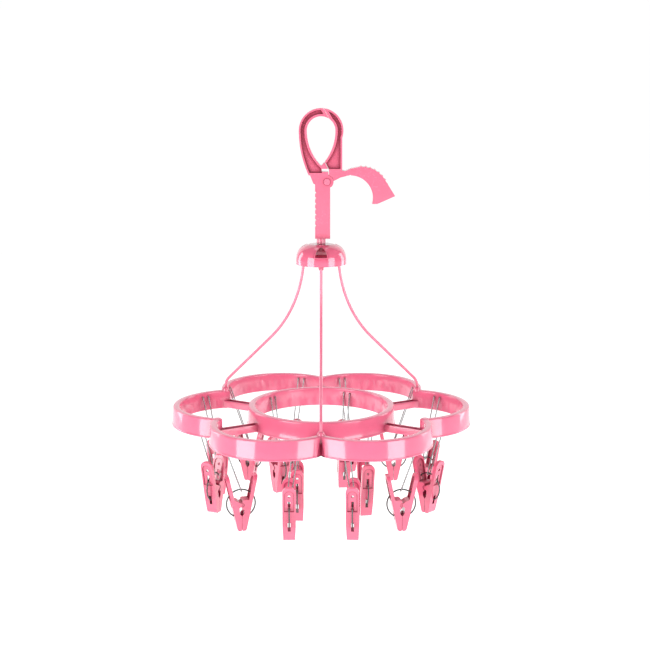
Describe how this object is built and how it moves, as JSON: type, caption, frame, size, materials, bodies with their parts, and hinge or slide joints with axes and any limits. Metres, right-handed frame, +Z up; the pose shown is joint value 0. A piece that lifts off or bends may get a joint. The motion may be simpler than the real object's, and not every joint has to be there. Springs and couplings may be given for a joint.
{
  "type": "clip drying hanger",
  "caption": "Six-petal drying hanger on three stays under a swivelling dome and a squeeze-open rail hook, with spring clips hung on wires round its petals and centre ring.",
  "frame": {"origin": "centre of the hook's round top, where the rail's axis lies", "axes": "+Y along the rail the hook hangs on, +Z up along the hanger's longest extent, +X towards the grip lever"},
  "size_m": [0.311, 0.287, 0.4124],
  "materials": {
    "frame_plastic": "glossy moulded pink polypropylene",
    "dome_plastic": "glossy moulded pink polypropylene",
    "hook_plastic": "satin moulded pink polypropylene",
    "pin_plastic": "glossy moulded light pink plastic",
    "stay_plastic": "smooth flexible pink plastic",
    "clip_plastic": "glossy moulded pink plastic",
    "spring_steel": "bright drawn spring wire",
    "hanger_wire": "galvanised steel wire"
  },
  "bodies": {
    "hook": {"hook_stem": "hook_plastic", "hook_pivot_pin": "pin_plastic", "hook_spring": "spring_steel", "swivel_pin": "pin_plastic"},
    "grip_lever": {"hook_grip_lever": "hook_plastic"},
    "frame": {"dome_cap": "dome_plastic", "stay_front": "stay_plastic", "stay_left": "stay_plastic", "stay_right": "stay_plastic", "flower_frame": "frame_plastic", "wire_hangers": "hanger_wire"},
    "clip_01": {"clip_01_ring_spring": "spring_steel", "clip_01_arm_a": "clip_plastic"},
    "clip_01_jaw": {"clip_01_arm_b": "clip_plastic"},
    "clip_02": {"clip_02_ring_spring": "spring_steel", "clip_02_arm_a": "clip_plastic"},
    "clip_02_jaw": {"clip_02_arm_b": "clip_plastic"},
    "clip_03": {"clip_03_ring_spring": "spring_steel", "clip_03_arm_a": "clip_plastic"},
    "clip_03_jaw": {"clip_03_arm_b": "clip_plastic"},
    "clip_04": {"clip_04_ring_spring": "spring_steel", "clip_04_arm_a": "clip_plastic"},
    "clip_04_jaw": {"clip_04_arm_b": "clip_plastic"},
    "clip_05": {"clip_05_ring_spring": "spring_steel", "clip_05_arm_a": "clip_plastic"},
    "clip_05_jaw": {"clip_05_arm_b": "clip_plastic"},
    "clip_06": {"clip_06_ring_spring": "spring_steel", "clip_06_arm_a": "clip_plastic"},
    "clip_06_jaw": {"clip_06_arm_b": "clip_plastic"},
    "clip_07": {"clip_07_ring_spring": "spring_steel", "clip_07_arm_a": "clip_plastic"},
    "clip_07_jaw": {"clip_07_arm_b": "clip_plastic"},
    "clip_08": {"clip_08_ring_spring": "spring_steel", "clip_08_arm_a": "clip_plastic"},
    "clip_08_jaw": {"clip_08_arm_b": "clip_plastic"},
    "clip_09": {"clip_09_ring_spring": "spring_steel", "clip_09_arm_a": "clip_plastic"},
    "clip_09_jaw": {"clip_09_arm_b": "clip_plastic"},
    "clip_10": {"clip_10_ring_spring": "spring_steel", "clip_10_arm_a": "clip_plastic"},
    "clip_10_jaw": {"clip_10_arm_b": "clip_plastic"},
    "clip_11": {"clip_11_ring_spring": "spring_steel", "clip_11_arm_a": "clip_plastic"},
    "clip_11_jaw": {"clip_11_arm_b": "clip_plastic"},
    "clip_12": {"clip_12_ring_spring": "spring_steel", "clip_12_arm_a": "clip_plastic"},
    "clip_12_jaw": {"clip_12_arm_b": "clip_plastic"},
    "clip_13": {"clip_13_ring_spring": "spring_steel", "clip_13_arm_a": "clip_plastic"},
    "clip_13_jaw": {"clip_13_arm_b": "clip_plastic"},
    "clip_14": {"clip_14_ring_spring": "spring_steel", "clip_14_arm_a": "clip_plastic"},
    "clip_14_jaw": {"clip_14_arm_b": "clip_plastic"},
    "clip_15": {"clip_15_ring_spring": "spring_steel", "clip_15_arm_a": "clip_plastic"},
    "clip_15_jaw": {"clip_15_arm_b": "clip_plastic"},
    "clip_16": {"clip_16_ring_spring": "spring_steel", "clip_16_arm_a": "clip_plastic"},
    "clip_16_jaw": {"clip_16_arm_b": "clip_plastic"}
  },
  "joints": [
    {"name": "grip_squeeze", "type": "hinge", "parent": "hook", "child": "grip_lever", "pos_m": [0.0059, 0, -0.051], "axis": [0, 1, 0], "range_deg": [0, 26], "stiffness_Nm_per_rad": 0.12, "springref_deg": -20.05, "deforming": ["hook_spring"]},
    {"name": "frame_swivel", "type": "hinge", "parent": "hook", "child": "frame", "pos_m": [0, 0, -0.12], "axis": [0, 0, 1], "continuous": true},
    {"name": "clip_01_swing", "type": "hinge", "parent": "frame", "child": "clip_01", "pos_m": [0.11092, -0.02805, -0.3486], "axis": [-0.7193, 0.6947, 0], "range_deg": [-20, 20]},
    {"name": "clip_01_open", "type": "hinge", "parent": "clip_01", "child": "clip_01_jaw", "pos_m": [0.11092, -0.02805, -0.3631], "axis": [0.6947, 0.7193, 0], "range_deg": [0, 20], "stiffness_Nm_per_rad": 0.3, "springref_deg": -20.05},
    {"name": "clip_02_swing", "type": "hinge", "parent": "frame", "child": "clip_02", "pos_m": [0.11092, 0.02805, -0.3486], "axis": [-0.788, -0.6157, 0], "range_deg": [-20, 20]},
    {"name": "clip_02_open", "type": "hinge", "parent": "clip_02", "child": "clip_02_jaw", "pos_m": [0.11092, 0.02805, -0.3631], "axis": [-0.6157, 0.788, 0], "range_deg": [0, 20], "stiffness_Nm_per_rad": 0.3, "springref_deg": -20.05},
    {"name": "clip_03_swing", "type": "hinge", "parent": "frame", "child": "clip_03", "pos_m": [0.07975, 0.08203, -0.3486], "axis": [-0.9994, -0.0349, 0], "range_deg": [-20, 20]},
    {"name": "clip_03_open", "type": "hinge", "parent": "clip_03", "child": "clip_03_jaw", "pos_m": [0.07975, 0.08203, -0.3631], "axis": [-0.0349, 0.9994, 0], "range_deg": [0, 20], "stiffness_Nm_per_rad": 0.3, "springref_deg": -20.05},
    {"name": "clip_04_swing", "type": "hinge", "parent": "frame", "child": "clip_04", "pos_m": [0.03116, 0.11008, -0.3486], "axis": [0.5592, -0.829, 0], "range_deg": [-20, 20]},
    {"name": "clip_04_open", "type": "hinge", "parent": "clip_04", "child": "clip_04_jaw", "pos_m": [0.03116, 0.11008, -0.3631], "axis": [-0.829, -0.5592, 0], "range_deg": [0, 20], "stiffness_Nm_per_rad": 0.3, "springref_deg": -20.05},
    {"name": "clip_05_swing", "type": "hinge", "parent": "frame", "child": "clip_05", "pos_m": [-0.03116, 0.11008, -0.3486], "axis": [-0.225, -0.9744, 0], "range_deg": [-20, 20]},
    {"name": "clip_05_open", "type": "hinge", "parent": "clip_05", "child": "clip_05_jaw", "pos_m": [-0.03116, 0.11008, -0.3631], "axis": [-0.9744, 0.225, 0], "range_deg": [0, 20], "stiffness_Nm_per_rad": 0.3, "springref_deg": -20.05},
    {"name": "clip_06_swing", "type": "hinge", "parent": "frame", "child": "clip_06", "pos_m": [-0.07975, 0.08203, -0.3486], "axis": [0.9397, -0.342, 0], "range_deg": [-20, 20]},
    {"name": "clip_06_open", "type": "hinge", "parent": "clip_06", "child": "clip_06_jaw", "pos_m": [-0.07975, 0.08203, -0.3631], "axis": [-0.342, -0.9397, 0], "range_deg": [0, 20], "stiffness_Nm_per_rad": 0.3, "springref_deg": -20.05},
    {"name": "clip_07_swing", "type": "hinge", "parent": "frame", "child": "clip_07", "pos_m": [-0.11092, 0.02805, -0.3486], "axis": [0.4848, -0.8746, 0], "range_deg": [-20, 20]},
    {"name": "clip_07_open", "type": "hinge", "parent": "clip_07", "child": "clip_07_jaw", "pos_m": [-0.11092, 0.02805, -0.3631], "axis": [-0.8746, -0.4848, 0], "range_deg": [0, 20], "stiffness_Nm_per_rad": 0.3, "springref_deg": -20.05},
    {"name": "clip_08_swing", "type": "hinge", "parent": "frame", "child": "clip_08", "pos_m": [-0.11092, -0.02805, -0.3486], "axis": [0.4067, 0.9135, 0], "range_deg": [-20, 20]},
    {"name": "clip_08_open", "type": "hinge", "parent": "clip_08", "child": "clip_08_jaw", "pos_m": [-0.11092, -0.02805, -0.3631], "axis": [0.9135, -0.4067, 0], "range_deg": [0, 20], "stiffness_Nm_per_rad": 0.3, "springref_deg": -20.05},
    {"name": "clip_09_swing", "type": "hinge", "parent": "frame", "child": "clip_09", "pos_m": [-0.07975, -0.08203, -0.3486], "axis": [0.9703, 0.2419, 0], "range_deg": [-20, 20]},
    {"name": "clip_09_open", "type": "hinge", "parent": "clip_09", "child": "clip_09_jaw", "pos_m": [-0.07975, -0.08203, -0.3631], "axis": [0.2419, -0.9703, 0], "range_deg": [0, 20], "stiffness_Nm_per_rad": 0.3, "springref_deg": -20.05},
    {"name": "clip_10_swing", "type": "hinge", "parent": "frame", "child": "clip_10", "pos_m": [-0.03116, -0.11008, -0.3486], "axis": [-0.0349, 0.9994, 0], "range_deg": [-20, 20]},
    {"name": "clip_10_open", "type": "hinge", "parent": "clip_10", "child": "clip_10_jaw", "pos_m": [-0.03116, -0.11008, -0.3631], "axis": [0.9994, 0.0349, 0], "range_deg": [0, 20], "stiffness_Nm_per_rad": 0.3, "springref_deg": -20.05},
    {"name": "clip_11_swing", "type": "hinge", "parent": "frame", "child": "clip_11", "pos_m": [0.03116, -0.11008, -0.3486], "axis": [0.0698, 0.9976, 0], "range_deg": [-20, 20]},
    {"name": "clip_11_open", "type": "hinge", "parent": "clip_11", "child": "clip_11_jaw", "pos_m": [0.03116, -0.11008, -0.3631], "axis": [0.9976, -0.0698, 0], "range_deg": [0, 20], "stiffness_Nm_per_rad": 0.3, "springref_deg": -20.05},
    {"name": "clip_12_swing", "type": "hinge", "parent": "frame", "child": "clip_12", "pos_m": [0.07975, -0.08203, -0.3486], "axis": [-0.9903, -0.1392, 0], "range_deg": [-20, 20]},
    {"name": "clip_12_open", "type": "hinge", "parent": "clip_12", "child": "clip_12_jaw", "pos_m": [0.07975, -0.08203, -0.3631], "axis": [-0.1392, 0.9903, 0], "range_deg": [0, 20], "stiffness_Nm_per_rad": 0.3, "springref_deg": -20.05},
    {"name": "clip_13_swing", "type": "hinge", "parent": "frame", "child": "clip_13", "pos_m": [0.02414, 0.05422, -0.3486], "axis": [0.1045, -0.9945, 0], "range_deg": [-20, 20]},
    {"name": "clip_13_open", "type": "hinge", "parent": "clip_13", "child": "clip_13_jaw", "pos_m": [0.02414, 0.05422, -0.3631], "axis": [-0.9945, -0.1045, 0], "range_deg": [0, 20], "stiffness_Nm_per_rad": 0.3, "springref_deg": -20.05},
    {"name": "clip_14_swing", "type": "hinge", "parent": "frame", "child": "clip_14", "pos_m": [-0.04546, 0.03815, -0.3486], "axis": [0.5299, -0.848, 0], "range_deg": [-20, 20]},
    {"name": "clip_14_open", "type": "hinge", "parent": "clip_14", "child": "clip_14_jaw", "pos_m": [-0.04546, 0.03815, -0.3631], "axis": [-0.848, -0.5299, 0], "range_deg": [0, 20], "stiffness_Nm_per_rad": 0.3, "springref_deg": -20.05},
    {"name": "clip_15_swing", "type": "hinge", "parent": "frame", "child": "clip_15", "pos_m": [-0.02414, -0.05422, -0.3486], "axis": [0, 1, 0], "range_deg": [-20, 20]},
    {"name": "clip_15_open", "type": "hinge", "parent": "clip_15", "child": "clip_15_jaw", "pos_m": [-0.02414, -0.05422, -0.3631], "axis": [1, 0, 0], "range_deg": [0, 20], "stiffness_Nm_per_rad": 0.3, "springref_deg": -20.05},
    {"name": "clip_16_swing", "type": "hinge", "parent": "frame", "child": "clip_16", "pos_m": [0.04546, -0.03815, -0.3486], "axis": [-0.1736, 0.9848, 0], "range_deg": [-20, 20]},
    {"name": "clip_16_open", "type": "hinge", "parent": "clip_16", "child": "clip_16_jaw", "pos_m": [0.04546, -0.03815, -0.3631], "axis": [0.9848, 0.1736, 0], "range_deg": [0, 20], "stiffness_Nm_per_rad": 0.3, "springref_deg": -20.05}
  ]
}
